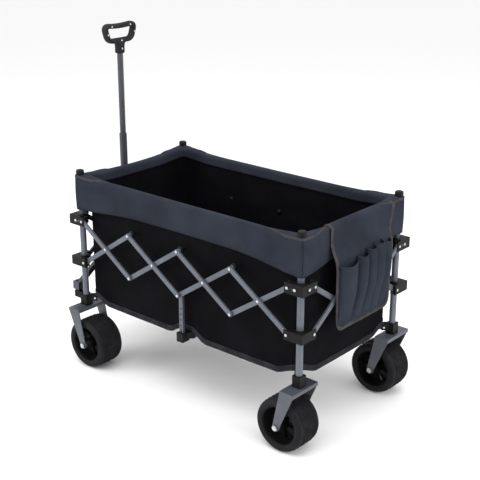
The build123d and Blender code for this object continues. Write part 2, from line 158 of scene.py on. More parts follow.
def bumped(tree, shader, strength, distance, height):
    """Gives a finish its fine relief."""
    bump = add(tree, "ShaderNodeBump", {"Strength": strength, "Distance": distance, "Height": height})
    tree.links.new(bump.outputs[0], shader.inputs["Normal"])


def speckle(tree, vector, scale, detail=3.0, rough=0.55):
    made = add(tree, "ShaderNodeTexNoise", {"Vector": vector, "Scale": scale, "Detail": detail, "Roughness": rough})
    return made.outputs[0]


def woven(name, dark, light, thread=0.0013, depth=0.00012, roughness=0.85, sheen=0.0, crease=0.0010):
    """Plain-woven cloth: threads both ways from the piece's cloth map, slow tone changes, fibre fuzz and creases."""
    material, tree, shader = new_finish(name, roughness, sheen=sheen, specular=0.04)
    lay = add(tree, "ShaderNodeUVMap", uv_map="cloth").outputs[0]
    place = add(tree, "ShaderNodeTexCoord").outputs["Object"]
    split = add(tree, "ShaderNodeSeparateXYZ", {0: lay})
    warp = maths(tree, "SINE", maths(tree, "MULTIPLY", split.outputs[0], 2 * math.pi / thread))
    weft = maths(tree, "SINE", maths(tree, "MULTIPLY", split.outputs[1], 2 * math.pi / thread))
    weave = maths(tree, "MULTIPLY", warp, weft)
    slow = speckle(tree, place, 7.0, 4.0)
    fibre = speckle(tree, place, 700.0, 2.0)
    tone = ramp(tree, slow, [(0.32, dark), (0.72, light)])
    tone = mixed(tree, 0.22, tone, ramp(tree, fibre, [(0.3, (0.35, 0.35, 0.35, 1)), (0.7, (1, 1, 1, 1))]), "MULTIPLY")
    tree.links.new(tone, shader.inputs["Base Color"])
    fold = speckle(tree, place, 26.0, 5.0, 0.6)
    first = add(tree, "ShaderNodeBump", {"Strength": 0.55, "Distance": crease, "Height": fold})
    height = maths(tree, "ADD", maths(tree, "MULTIPLY", weave, 0.6), fibre)
    second = add(tree, "ShaderNodeBump", {"Strength": 0.5, "Distance": depth, "Height": height,
                                          "Normal": first.outputs[0]})
    tree.links.new(second.outputs[0], shader.inputs["Normal"])
    return material


def webbing(name, dark, light, rib=0.0016):
    """Ribbed tape: ribs across its length, from its own cloth map."""
    material, tree, shader = new_finish(name, 0.85, specular=0.05)
    lay = add(tree, "ShaderNodeUVMap", uv_map="cloth").outputs[0]
    place = add(tree, "ShaderNodeTexCoord").outputs["Object"]
    split = add(tree, "ShaderNodeSeparateXYZ", {0: lay})
    ribs = maths(tree, "SINE", maths(tree, "MULTIPLY", split.outputs[0], 2 * math.pi / rib))
    fibre = speckle(tree, place, 500.0, 2.0)
    wear = speckle(tree, place, 30.0, 4.0)
    tone = ramp(tree, wear, [(0.35, dark), (0.7, light)])
    tree.links.new(mixed(tree, 0.25, tone, ramp(tree, fibre, [(0.3, (0.4, 0.4, 0.4, 1)), (0.7, (1, 1, 1, 1))]),
                         "MULTIPLY"), shader.inputs["Base Color"])
    height = maths(tree, "ADD", ribs, fibre)
    bumped(tree, shader, 0.6, 0.0002, height)
    return material


def powder_coat(name, dark, light, metallic=0.3, roughness=0.40):
    """Baked powder paint on steel: fine orange peel, small chips and rubbed streaks, dust near the ground."""
    material, tree, shader = new_finish(name, roughness, metallic=metallic)
    place = add(tree, "ShaderNodeTexCoord").outputs["Object"]
    slow = speckle(tree, place, 11.0, 3.0)
    grain = speckle(tree, place, 1500.0, 2.0)
    chips = speckle(tree, place, 160.0, 5.0, 0.7)
    tone = ramp(tree, slow, [(0.3, dark), (0.7, light)])
    chip = ramp(tree, chips, [(0.70, (0, 0, 0, 1)), (0.76, (1, 1, 1, 1))])
    tone = mixed(tree, chip, tone, colour(150, 153, 158))
    height = add(tree, "ShaderNodeSeparateXYZ", {0: place}).outputs[2]
    low = add(tree, "ShaderNodeMapRange", {0: height, 1: 0.02, 2: 0.26, 3: 0.35, 4: 0.0}).outputs[0]
    dust = maths(tree, "MULTIPLY", low, speckle(tree, place, 60.0, 4.0))
    tree.links.new(mixed(tree, dust, tone, colour(139, 137, 134)), shader.inputs["Base Color"])
    rough = add(tree, "ShaderNodeMapRange", {0: slow, 3: roughness - 0.07, 4: roughness + 0.13}).outputs[0]
    tree.links.new(rough, shader.inputs["Roughness"])
    bumped(tree, shader, 0.35, 0.00008, grain)
    return material


def moulded(name, dark, light, roughness=0.48, grain_size=420.0, depth=0.00012):
    """Moulded plastic with a fine spark-eroded grain and rubbed patches."""
    material, tree, shader = new_finish(name, roughness, specular=0.14)
    place = add(tree, "ShaderNodeTexCoord").outputs["Object"]
    slow = speckle(tree, place, 18.0, 4.0)
    grain = speckle(tree, place, grain_size, 3.0)
    scuff = speckle(tree, place, 75.0, 6.0, 0.75)
    tone = ramp(tree, slow, [(0.3, dark), (0.75, light)])
    rub = ramp(tree, scuff, [(0.60, (0, 0, 0, 1)), (0.80, (0.25, 0.25, 0.25, 1))])
    tree.links.new(mixed(tree, rub, tone, colour(52, 52, 54)), shader.inputs["Base Color"])
    rough = add(tree, "ShaderNodeMapRange", {0: scuff, 3: roughness - 0.1, 4: roughness + 0.2}).outputs[0]
    tree.links.new(rough, shader.inputs["Roughness"])
    bumped(tree, shader, 0.4, depth, grain)
    return material


def bright_metal(name):
    """Zinc-plated steel with small dark pits."""
    material, tree, shader = new_finish(name, 0.32, metallic=1.0)
    place = add(tree, "ShaderNodeTexCoord").outputs["Object"]
    pits = speckle(tree, place, 300.0, 4.0)
    tree.links.new(ramp(tree, pits, [(0.3, colour(150, 150, 152)), (0.65, colour(214, 214, 216))]),
                   shader.inputs["Base Color"])
    tree.links.new(add(tree, "ShaderNodeMapRange", {0: pits, 3: 0.22, 4: 0.45}).outputs[0],
                   shader.inputs["Roughness"])
    bumped(tree, shader, 0.3, 0.0001, pits)
    return material


def tyre_rubber(name):
    """Matt rubber, greyed by dust in random patches."""
    material, tree, shader = new_finish(name, 0.8, specular=0.15)
    place = add(tree, "ShaderNodeTexCoord").outputs["Object"]
    dust = speckle(tree, place, 34.0, 5.0, 0.65)
    grain = speckle(tree, place, 520.0, 3.0)
    tone = ramp(tree, dust, [(0.30, colour(19, 19, 21)), (0.55, colour(28, 28, 31)), (0.80, colour(45, 44, 47))])
    tree.links.new(tone, shader.inputs["Base Color"])
    tree.links.new(add(tree, "ShaderNodeMapRange", {0: dust, 3: 0.68, 4: 0.92}).outputs[0],
                   shader.inputs["Roughness"])
    bumped(tree, shader, 0.5, 0.00025, grain)
    return material


black_cloth = woven("black_oxford_cloth", colour(9, 9, 12), colour(17, 16, 20))
slate_cloth = woven("slate_oxford_cloth", colour(38, 41, 49), colour(50, 54, 64))
mat_cloth = woven("mat_cloth", colour(20, 20, 23), colour(32, 32, 36), thread=0.0018)
dark_tape = webbing("dark_hem_tape", colour(34, 34, 38), colour(50, 49, 53))
taupe_tape = webbing("taupe_binding", colour(56, 54, 56), colour(74, 71, 73))
sewing_thread = webbing("sewing_thread", colour(44, 48, 57), colour(72, 76, 86), rib=0.0006)
post_grey = powder_coat("post_grey_powder_coat", colour(80, 84, 94), colour(98, 103, 114))
bar_grey = powder_coat("bar_grey_powder_coat", colour(76, 80, 88), colour(94, 99, 108))
fork_grey = powder_coat("fork_grey_powder_coat", colour(62, 66, 74), colour(79, 84, 93))
handle_grey = powder_coat("handle_grey_powder_coat", colour(52, 54, 61), colour(66, 68, 76))
joint_black = moulded("joint_black_plastic", colour(10, 10, 12), colour(18, 18, 20))
grip_black = moulded("grip_black_plastic", colour(24, 24, 27), colour(37, 37, 41), roughness=0.6, grain_size=260.0)
rim_black = moulded("rim_black_plastic", colour(9, 9, 10), colour(17, 17, 18), roughness=0.4)
rivet_zinc = bright_metal("rivet_zinc")
rubber = tyre_rubber("tyre_rubber")

# ---------------------------------------------------------------- making pieces

collection = bpy.context.scene.collection


def settle(obj):
    """Keeps what the modifiers make as the piece's own mesh, and takes the modifiers off."""
    bpy.context.view_layer.update()
    graph = bpy.context.evaluated_depsgraph_get()
    mesh = bpy.data.meshes.new_from_object(obj.evaluated_get(graph), preserve_all_data_layers=True, depsgraph=graph)
    mesh.name = obj.name
    obj.modifiers.clear()
    obj.data = mesh
    return obj


def new_piece(name, points, faces, material, layout=None, smooth=True):
    mesh = bpy.data.meshes.new(name)
    mesh.from_pydata([tuple(p) for p in points], [], faces)
    if layout is not None:
        loops = mesh.uv_layers.new(name="cloth").data
        for loop in mesh.loops:
            loops[loop.index].uv = layout[loop.vertex_index]
    mesh.polygons.foreach_set("use_smooth", [smooth] * len(mesh.polygons))
    mesh.materials.append(material)
    mesh.update()
    obj = bpy.data.objects.new(name, mesh)
    collection.objects.link(obj)
    return obj


def face_outwards(obj):
    """Turns a closed piece's faces outwards."""
    shape = bmesh.new()
    shape.from_mesh(obj.data)
    bmesh.ops.recalc_face_normals(shape, faces=shape.faces)
    shape.to_mesh(obj.data)
    shape.free()


def grid_faces(rows, columns, around=False):
    faces = []
    for r in range(rows - 1):
        for c in range(columns if around else columns - 1):
            d = (c + 1) % columns
            faces.append((r * columns + c, r * columns + d, (r + 1) * columns + d, (r + 1) * columns + c))
    return faces


def lengths(points):
    steps = np.linalg.norm(np.diff(points, axis=0), axis=1)
    return np.concatenate([[0.0], np.cumsum(steps)])


def lay_cloth(name, grid, material, thick=CLOTH):
    """A sheet from rows of points, given its thickness, with a cloth map in metres. Returns it and its flat size."""
    grid = np.array(grid, float)
    rows, columns = grid.shape[:2]
    u = lengths(grid[rows // 2])
    v = lengths(grid[:, columns // 2])
    layout = [(u[c], v[r]) for r in range(rows) for c in range(columns)]
    obj = new_piece(name, grid.reshape(-1, 3), grid_faces(rows, columns), material, layout)
    shell = obj.modifiers.new("thickness", "SOLIDIFY")
    shell.thickness = thick
    shell.offset = 0.0
    settle(obj)
    return obj, (float(v[-1]), float(u[-1]))


def sweep(name, path, outward, profile, material, closed=False):
    """A tape or tube: a closed profile of (outward, upward) offsets carried along a path."""
    path = np.array(path, float)
    outward = np.array(outward, float)
    turned = np.roll(path, -1, axis=0) - np.roll(path, 1, axis=0) if closed else np.gradient(path, axis=0)
    turned /= np.linalg.norm(turned, axis=1)[:, None]
    outward -= (outward * turned).sum(1)[:, None] * turned
    outward /= np.linalg.norm(outward, axis=1)[:, None]
    upward = np.cross(turned, outward)
    count = len(profile)
    points = [path[i] + a * outward[i] + b * upward[i] for i in range(len(path)) for a, b in profile]
    run = lengths(path)
    girth = lengths(np.array(list(profile) + [profile[0]]))
    layout = [(run[i], girth[j]) for i in range(len(path)) for j in range(count)]
    faces = grid_faces(len(path), count, around=True)
    if closed:
        back = (len(path) - 1) * count
        faces += [(back + j, back + (j + 1) % count, (j + 1) % count, j) for j in range(count)]
    else:
        faces.append(tuple(range(count)))
        faces.append(tuple(range(len(points) - count, len(points))))
    obj = new_piece(name, points, faces, material, layout)
    face_outwards(obj)
    return obj


def rounded_profile(width, height, steps=3):
    """A closed oval-cornered section, width outward and height upward."""
    r = min(width, height) / 2
    points = []
    for quarter, (sx, sy) in enumerate(((1, 1), (-1, 1), (-1, -1), (1, -1))):
        for k in range(steps + 1):
            a = math.pi / 2 * (quarter + k / steps)
            points.append((sx * (width / 2 - r) + r * math.cos(a), sy * (height / 2 - r) + r * math.sin(a)))
    return points


def fold_with_side(obj, side):
    """A soft piece of one side rides that side's post."""
    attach(obj, SIDE_BODY[side])
    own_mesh(obj)
    return obj


# ---------------------------------------------------------------- repeated parts by Geometry Nodes

def stitch_tree():
    """Lays one small part at even steps along an edge line, turned to follow it."""
    tree = bpy.data.node_groups.new("stitch_row", "GeometryNodeTree")
    face = tree.interface
    face.new_socket(name="Line", in_out="INPUT", socket_type="NodeSocketGeometry")
    for label, start in (("Step", 0.006), ("Length", 0.004), ("Radius", 0.0006)):
        face.new_socket(name=label, in_out="INPUT", socket_type="NodeSocketFloat").default_value = start
    face.new_socket(name="Finish", in_out="INPUT", socket_type="NodeSocketMaterial")
    face.new_socket(name="Stitches", in_out="OUTPUT", socket_type="NodeSocketGeometry")
    given = add(tree, "NodeGroupInput")
    line = add(tree, "GeometryNodeMeshToCurve", {"Mesh": given.outputs["Line"]})
    even = add(tree, "GeometryNodeResampleCurve", {"Curve": line.outputs[0]})
    if hasattr(even, "mode"):
        even.mode = "LENGTH"
    else:
        even.inputs["Mode"].default_value = "Length"
    tree.links.new(given.outputs["Step"], even.inputs["Length"])
    stitch = add(tree, "GeometryNodeMeshCylinder", {"Vertices": 6, "Radius": given.outputs["Radius"],
                                                   "Depth": given.outputs["Length"]})
    tangent = add(tree, "GeometryNodeInputTangent")
    turn = add(tree, "FunctionNodeAlignEulerToVector", {"Vector": tangent.outputs[0]}, axis="Z")
    laid = add(tree, "GeometryNodeInstanceOnPoints", {"Points": even.outputs[0], "Instance": stitch.outputs[0],
                                                     "Rotation": turn.outputs[0]})
    real = add(tree, "GeometryNodeRealizeInstances", {0: laid.outputs[0]})
    finished = add(tree, "GeometryNodeSetMaterial", {"Geometry": real.outputs[0], "Material": given.outputs["Finish"]})
    add(tree, "NodeGroupOutput", {0: finished.outputs[0]})
    return tree


def ring_tree():
    """Lays a block at even steps round a wheel, on its tread, with a small fixed-seed change of size."""
    tree = bpy.data.node_groups.new("tread_ring", "GeometryNodeTree")
    face = tree.interface
    face.new_socket(name="Block", in_out="INPUT", socket_type="NodeSocketGeometry")
    face.new_socket(name="Count", in_out="INPUT", socket_type="NodeSocketInt").default_value = 40
    for label, start in (("Radius", 0.088), ("Across", 0.0), ("Twist", 0.0)):
        face.new_socket(name=label, in_out="INPUT", socket_type="NodeSocketFloat").default_value = start
    face.new_socket(name="Finish", in_out="INPUT", socket_type="NodeSocketMaterial")
    face.new_socket(name="Ring", in_out="OUTPUT", socket_type="NodeSocketGeometry")
    given = add(tree, "NodeGroupInput")
    points = add(tree, "GeometryNodePoints", {"Count": given.outputs["Count"]})
    number = add(tree, "GeometryNodeInputIndex").outputs[0]
    share = maths(tree, "DIVIDE", number, given.outputs["Count"])
    angle = maths(tree, "ADD", maths(tree, "MULTIPLY", share, 2 * math.pi), given.outputs["Twist"])
    x = maths(tree, "MULTIPLY", maths(tree, "COSINE", angle), given.outputs["Radius"])
    z = maths(tree, "MULTIPLY", maths(tree, "SINE", angle), given.outputs["Radius"])
    place = add(tree, "ShaderNodeCombineXYZ", {0: x, 1: given.outputs["Across"], 2: z})
    tree.links.new(place.outputs[0], points.inputs["Position"])
    turned = add(tree, "ShaderNodeCombineXYZ", {1: maths(tree, "MULTIPLY", angle, -1.0)})
    size = add(tree, "FunctionNodeRandomValue", {"Seed": 7}, data_type="FLOAT")
    size.inputs[2].default_value = 0.86
    size.inputs[3].default_value = 1.0
    laid = add(tree, "GeometryNodeInstanceOnPoints", {"Points": points.outputs[0], "Instance": given.outputs["Block"],
                                                     "Rotation": turned.outputs[0]})
    tree.links.new(size.outputs[1], laid.inputs["Scale"])
    real = add(tree, "GeometryNodeRealizeInstances", {0: laid.outputs[0]})
    finished = add(tree, "GeometryNodeSetMaterial", {"Geometry": real.outputs[0], "Material": given.outputs["Finish"]})
    add(tree, "NodeGroupOutput", {0: finished.outputs[0]})
    return tree


def set_inputs(modifier, values):
    """Sets a nodes modifier's named inputs by their sockets' identifiers."""
    for item in modifier.node_group.interface.items_tree:
        if item.item_type == "SOCKET" and item.in_out == "INPUT" and item.name in values:
            modifier[item.identifier] = values[item.name]


stitch_rows = stitch_tree()
tread_rings = ring_tree()


def stitches(name, path, side, step=0.0065, length=0.0042, radius=0.00055):
    """A row of stitches along a path, riding the same post as a side's cloth."""
    mesh = bpy.data.meshes.new(name)
    mesh.from_pydata([tuple(p) for p in path], [(i, i + 1) for i in range(len(path) - 1)], [])
    obj = bpy.data.objects.new(name, mesh)
    collection.objects.link(obj)
    row = obj.modifiers.new("stitches", "NODES")
    row.node_group = stitch_rows
    set_inputs(row, {"Step": step, "Length": length, "Radius": radius, "Finish": sewing_thread})
    settle(obj)
    if "cloth" not in obj.data.uv_layers:
        layer = obj.data.uv_layers.new(name="cloth").data
        points = obj.data.vertices
        for loop in obj.data.loops:
            co = points[loop.vertex_index].co
            layer[loop.index].uv = (co.x + co.y, co.z)
    return fold_with_side(obj, side)


# ---------------------------------------------------------------- the tub's cloth

def wall_plan(length, inset=WALL_INSET, radius=WALL_CORNER, bend=7, run=46):
    """The wall's line along one side, corner middle to corner middle, as (along, out) pairs."""
    turn = []
    for k in range(bend):
        a = math.radians(45 + 45 * k / (bend - 1))
        turn.append((inset + radius - radius * math.cos(a), -inset - radius + radius * math.sin(a)))
    straight = np.linspace(inset + radius, length - inset - radius, run + 2)[1:-1]
    back = [(length - s, o) for s, o in reversed(turn)]
    return turn + [(float(s), -inset) for s in straight] + back


def band_out(near, reach=0.014, set_in=-0.006, settle_by=0.235):
    """How far the rim band stands outside the line of the posts, by distance from the nearer post."""
    return reach + (set_in - reach) * ease(near / settle_by)


def band_plan(length, reach=0.014, bend=7, run=46):
    """The outer line of the rim band: round the outside of each post, easing in to the wall between them."""
    turn = []
    for k in range(bend):
        a = math.radians(45 + 45 * k / (bend - 1))
        square = 1 + 0.16 * math.sin(2 * a)
        turn.append((-reach * square * math.cos(a), reach * square * math.sin(a)))
    points = []
    for s in np.linspace(0, length, run + 2)[1:-1]:
        points.append((float(s), band_out(min(s, length - s))))
    back = [(length - s, o) for s, o in reversed(turn)]
    return turn + points + back


def hem_height(side, along):
    """Height of the tub's bottom edge: lifted over the floor arms at the corners and over the middle foot."""
    length = SIDE_LENGTH[side]
    near = min(along, length - along)
    lift = 0.0275 * (1 - ease((near - 0.026) / 0.085))
    if side in ("left", "right"):
        lift = max(lift, 0.0285 * (1 - ease((abs(along - LONG / 2) - 0.022) / 0.060)))
        lift = max(lift, 0.006 * abs(along / length - 0.55))
    return HEM_Z + lift


def clip_places(side):
    """Where the tub is clipped to the upper crossings' ends."""
    count = round((SIDE_LENGTH[side] - 2 * SETBACK) / UNIT)
    return [SETBACK + UNIT * k for k in range(1, count)]


def wall_swell(side, along, z):
    """How far the cloth stands out of the wall's plane: a loose bulge, folds from the clips, corner puckers."""
    length = SIDE_LENGTH[side]
    near = min(along, length - along)
    free = ease((near - 0.035) / 0.09)
    up = (z - 0.26) / (RIM_Z - 0.26)
    seed = {"left": 1.3, "right": 5.1, "front": 9.7, "rear": 14.2}[side]
    swell = 0.0035 * free * math.sin(math.pi * min(max(up, 0), 1)) ** 0.7
    swell += 0.0026 * free * ripple(along * 6.5, z * 4.5, seed)
    swell += 0.0012 * free * ripple(along * 20, z * 11, seed + 3)
    for clip in clip_places(side):
        dx, dz = along - clip, z - 0.556
        away = math.hypot(dx, dz) + 1e-6
        folds = math.cos(7 * math.atan2(dz, dx) + clip * 40)
        swell += 0.0022 * folds * (away / 0.05) * math.exp(-away / 0.055)
        swell += 0.0030 * math.exp(-(away / 0.022) ** 2)
    pucker = math.sin(2 * math.pi * z / 0.034 + 5 * ripple(z * 9, near * 12, seed + 6))
    swell += 0.0010 * pucker * math.exp(-abs(near - 0.045) / 0.025)
    low = 1 - ease((z - hem_height(side, along)) / 0.05)
    return swell * (1 - 0.75 * low)


def tub_wall(side):
    plan = wall_plan(SIDE_LENGTH[side])
    rows = []
    for share in np.linspace(0, 1, 34):
        row = []
        for along, out in plan:
            hem = hem_height(side, along)
            z = hem + (RIM_Z - 0.004 - hem) * share
            row.append(on_side(side, along, out + wall_swell(side, along, z), z))
        rows.append(row)
    wall, flat = lay_cloth("tub_wall_" + side, rows, black_cloth)
    fold_with_side(wall, side)
    return wall, flat


def band_low(side, along):
    near = min(along, SIDE_LENGTH[side] - along)
    return between(near, [(0, 0.5785), (0.06, 0.5810), (0.13, 0.5860), (0.27, 0.5935), (0.5, 0.5945)])


def band_top(side, along):
    near = min(along, SIDE_LENGTH[side] - along)
    return between(near, [(-0.02, 0.7015), (0.012, 0.7005), (0.06, 0.696), (0.11, RIM_Z), (0.5, RIM_Z - 0.001)])


def band_ripple(side, along, z, seed):
    near = min(along, SIDE_LENGTH[side] - along)
    free = ease((near - 0.01) / 0.08)
    held = math.exp(-abs(near - 0.05) / 0.04)
    wave = 0.0018 * free * ripple(along * 7, z * 7, seed) + 0.0008 * free * ripple(along * 22, z * 16, seed + 2)
    gather = 0.0013 * held * math.sin(2 * math.pi * (near + 0.4 * (z - 0.64)) / 0.023)
    slack = 0.0012 * held * math.sin(2 * math.pi * z / 0.040 + 9 * ripple(along * 8, 0.5, seed))
    return wave + (gather + slack) * ease(near / 0.02)


def rim_band(side):
    """The slate band: up the outside of the posts, over the rim and down inside."""
    length = SIDE_LENGTH[side]
    outer = band_plan(length)
    inner = wall_plan(length, inset=WALL_INSET + 0.0032, radius=WALL_CORNER - 0.003)
    seed = {"left": 21.4, "right": 25.9, "front": 29.3, "rear": 33.8}[side]
    columns = []
    for (s_out, o_out), (s_in, o_in) in zip(outer, inner):
        low, top = band_low(side, s_out), band_top(side, s_out)
        column = []
        for share in np.linspace(0, 1, 16):
            z = low + (top - 0.005 - low) * share
            cling = 0.0022 * math.sin(math.pi * share) + band_ripple(side, s_out, z, seed)
            tuck = -0.0022 * (1 - ease(share / 0.2)) * ease((min(s_out, length - s_out) - 0.02) / 0.06)
            column.append(on_side(side, s_out, o_out + cling + tuck, z))
        start = Vector(on_side(side, s_out, o_out, top))
        end = Vector(on_side(side, s_in, o_in, top))
        near = min(s_out, length - s_out)
        crown = 0.0006 if near < 0.03 else 0.002
        for share in np.linspace(0.06, 0.94, 7):
            p = start.lerp(end, float(share))
            p.z += crown * math.sin(math.pi * share) - 0.003 * (abs(2 * share - 1) ** 5)
            column.append(tuple(p))
        for share in np.linspace(0.15, 1, 6):
            z = top - 0.004 - 0.030 * share
            column.append(on_side(side, s_in, o_in - 0.0008 + 0.4 * wall_swell(side, s_in, z), z))
        columns.append(column)
    rows = [[columns[c][r] for c in range(len(columns))] for r in range(len(columns[0]))]
    band, flat = lay_cloth("rim_band_" + side, rows, slate_cloth)
    fold_with_side(band, side)
    edge, away = [], []
    for (s_out, o_out), (s_in, o_in) in zip(outer, inner):
        top = band_top(side, s_out)
        inward = ease((min(s_out, length - s_out) - 0.045) / 0.11)
        start = Vector(on_side(side, s_out, o_out + 0.0002, top - 0.0040))
        end = Vector(on_side(side, s_in, o_in + 0.0070, top - 0.0135))
        edge.append(tuple(start.lerp(end, inward)))
        edge[-1] = (edge[-1][0], edge[-1][1], edge[-1][2] + 0.0100 * math.sin(math.pi * inward))
        away.append(Vector(on_side(side, s_out, o_out + 1, 0)) - Vector(on_side(side, s_out, o_out, 0)))
    binding = sweep("rim_binding_" + side, edge, away, rounded_profile(0.0036, 0.0088), taupe_tape)
    fold_with_side(binding, side)
    for label, rise in (("low", 0.007), ("high", 0.0105)):
        path = [on_side(side, s, o + 0.0012 - 0.0022 * ease((min(s, length - s) - 0.02) / 0.06)
                        + band_ripple(side, s, band_low(side, s) + rise, seed), band_low(side, s) + rise)
                for s, o in outer]
        stitches("band_stitches_%s_%s" % (label, side), path, side)
    return band, flat


def bottom_hem(side):
    """Tape sewn round the bottom edge of the tub, with its stitches."""
    plan = wall_plan(SIDE_LENGTH[side])
    rows = []
    for rise in (-0.003, 0.003, 0.010, 0.017):
        rows.append([on_side(side, s, o + 0.0020 + wall_swell(side, s, hem_height(side, s) + rise),
                             hem_height(side, s) + rise) for s, o in plan])
    tape, flat = lay_cloth("hem_tape_" + side, rows, dark_tape, thick=0.0016)
    fold_with_side(tape, side)
    for label, rise in (("low", 0.001), ("high", 0.0145)):
        path = [on_side(side, s, o + 0.0030 + wall_swell(side, s, hem_height(side, s) + rise),
                        hem_height(side, s) + rise) for s, o in plan]
        stitches("hem_stitches_%s_%s" % (label, side), path, side)
    return tape


def button(name, side, along, z, out, body, radius=0.0115, deep=0.006):
    """A round moulded button through the cloth behind a joint."""
    ring = []
    for r, d in ((0.002, deep), (radius * 0.80, deep), (radius * 0.97, deep - 0.0012), (radius, deep - 0.003),
                 (radius, deep - 0.008), (radius * 0.5, deep - 0.010), (radius * 0.5, 0.004), (radius * 0.9, 0.0)):
        ring.append([(r * math.cos(a), r * math.sin(a), d) for a in np.linspace(0, 2 * math.pi, 25)[:-1]])
    points = [on_side(side, along + p[0], out + p[2], z + p[1]) for row in ring for p in row]
    faces = grid_faces(len(ring), 24, around=True)
    faces.append(tuple(range(24)))
    faces.append(tuple(range(len(points) - 24, len(points))))
    disc = new_piece(name, points, faces, joint_black)
    face_outwards(disc)
    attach(disc, body)
    return disc


walls, sheets = [], []
for side in SIDE_BODY:
    wall, flat = tub_wall(side)
    walls.append(wall)
    sheets.append((wall, flat))
    band, flat = rim_band(side)
    sheets.append((band, flat))
    bottom_hem(side)
    for number, along in enumerate(clip_places(side), 1):
        button("tub_button_%s_%d" % (side, number), side, along, Z_JOINT + 0.002, -0.0155,
               "%s_rise_%d" % (side, number), deep=0.0265)
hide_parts("tub")

# ---------------------------------------------------------------- the floor mat

def sewn_pad(wide, deep, thick=0.0072, cells=(3, 3), steps=36):
    """One mat section: two faces sewn in channels, puffed by a short cloth simulation between the seams."""
    points, seam = [], []
    for level in (0, 1):
        for i in range(steps + 1):
            for j in range(steps + 1):
                u, v = i / steps, j / steps
                edge = min(u, v, 1 - u, 1 - v) * steps
                fu = abs((u * cells[0] + 0.5) % 1 - 0.5) * steps / cells[0]
                fv = abs((v * cells[1] + 0.5) % 1 - 0.5) * steps / cells[1]
                sewn = min(fu, fv)
                puff = thick / 2 * (1 - 0.62 * math.exp(-(sewn / 1.1) ** 2))
                if edge < 0.5:
                    puff = thick * 0.18
                points.append(((u - 0.5) * wide, (v - 0.5) * deep, puff if level else -puff))
                seam.append(sewn < 0.5 or edge < 0.5)
    size = (steps + 1) ** 2
    faces = []
    for f in grid_faces(steps + 1, steps + 1):
        faces.append(tuple(reversed(f)))
        faces.append(tuple(i + size for i in f))
    loop = [i for i in range(steps)] + [(i + 1) * (steps + 1) - 1 for i in range(steps)]
    loop += [size - 1 - i for i in range(steps)] + [(steps - i) * (steps + 1) for i in range(steps)]
    for k, a in enumerate(loop):
        b = loop[(k + 1) % len(loop)]
        faces.append((a, b, b + size, a + size))
    layout = [(p[0], p[1]) for p in points]
    pad = new_piece("mat_pattern", points, faces, mat_cloth, layout)
    face_outwards(pad)
    held = pad.vertex_groups.new(name="seams")
    held.add([i for i, s in enumerate(seam) if s], 1.0, "REPLACE")
    before = np.array([v.co for v in pad.data.vertices])
    cloth = pad.modifiers.new("puff", "CLOTH")
    cloth.settings.quality = 6
    cloth.settings.vertex_group_mass = "seams"
    cloth.settings.use_pressure = True
    cloth.settings.uniform_pressure_force = 4.0
    cloth.settings.effector_weights.gravity = 0.0
    cloth.settings.tension_stiffness = 20
    cloth.settings.compression_stiffness = 20
    for step in range(1, 15):
        bpy.context.scene.frame_set(step)
    settle(pad)
    bpy.context.scene.frame_set(1)
    after = np.array([v.co for v in pad.data.vertices])
    move = np.clip(after - before, -0.0016, 0.0016)
    pad.data.vertices.foreach_set("co", (before + move).ravel())
    pad.data.update()
    return pad


def into_corner(u, v):
    """Moves a point of the unit square into a quarter of the unit circle, so a square corner becomes round."""
    return u * math.sqrt(1 - v * v / 2), v * math.sqrt(1 - u * u / 2)


def floor_cloth(name, x_in, x_out, y_out, rounded):
    """The tub's bottom under one mat section, from the hub's lines to the walls or to the middle fold."""
    way_x, way_y = math.copysign(1, x_out - x_in), math.copysign(1, y_out)
    long_x, long_y = abs(x_out - x_in), abs(y_out)
    along = list(np.linspace(0, long_x - WALL_CORNER, 15)) + list(np.linspace(long_x - WALL_CORNER, long_x, 6)[1:])
    across = list(np.linspace(0, long_y - WALL_CORNER, 15)) + list(np.linspace(long_y - WALL_CORNER, long_y, 6)[1:])
    rows = []
    for b in across:
        rows.append([])
        for a in along:
            u, v = a - (long_x - WALL_CORNER), b - (long_y - WALL_CORNER)
            x, y = a, b
            if rounded and u > 0 and v > 0:
                turned = into_corner(u / WALL_CORNER, v / WALL_CORNER)
                x, y = a - u + turned[0] * WALL_CORNER, b - v + turned[1] * WALL_CORNER
            x, y = x_in + way_x * x, way_y * y
            rows[-1].append((x, y, FLOOR_CLOTH_Z + 0.0003 * ripple(x * 9, y * 9, 51.0)))
    return lay_cloth(name, rows, black_cloth, thick=0.0014)


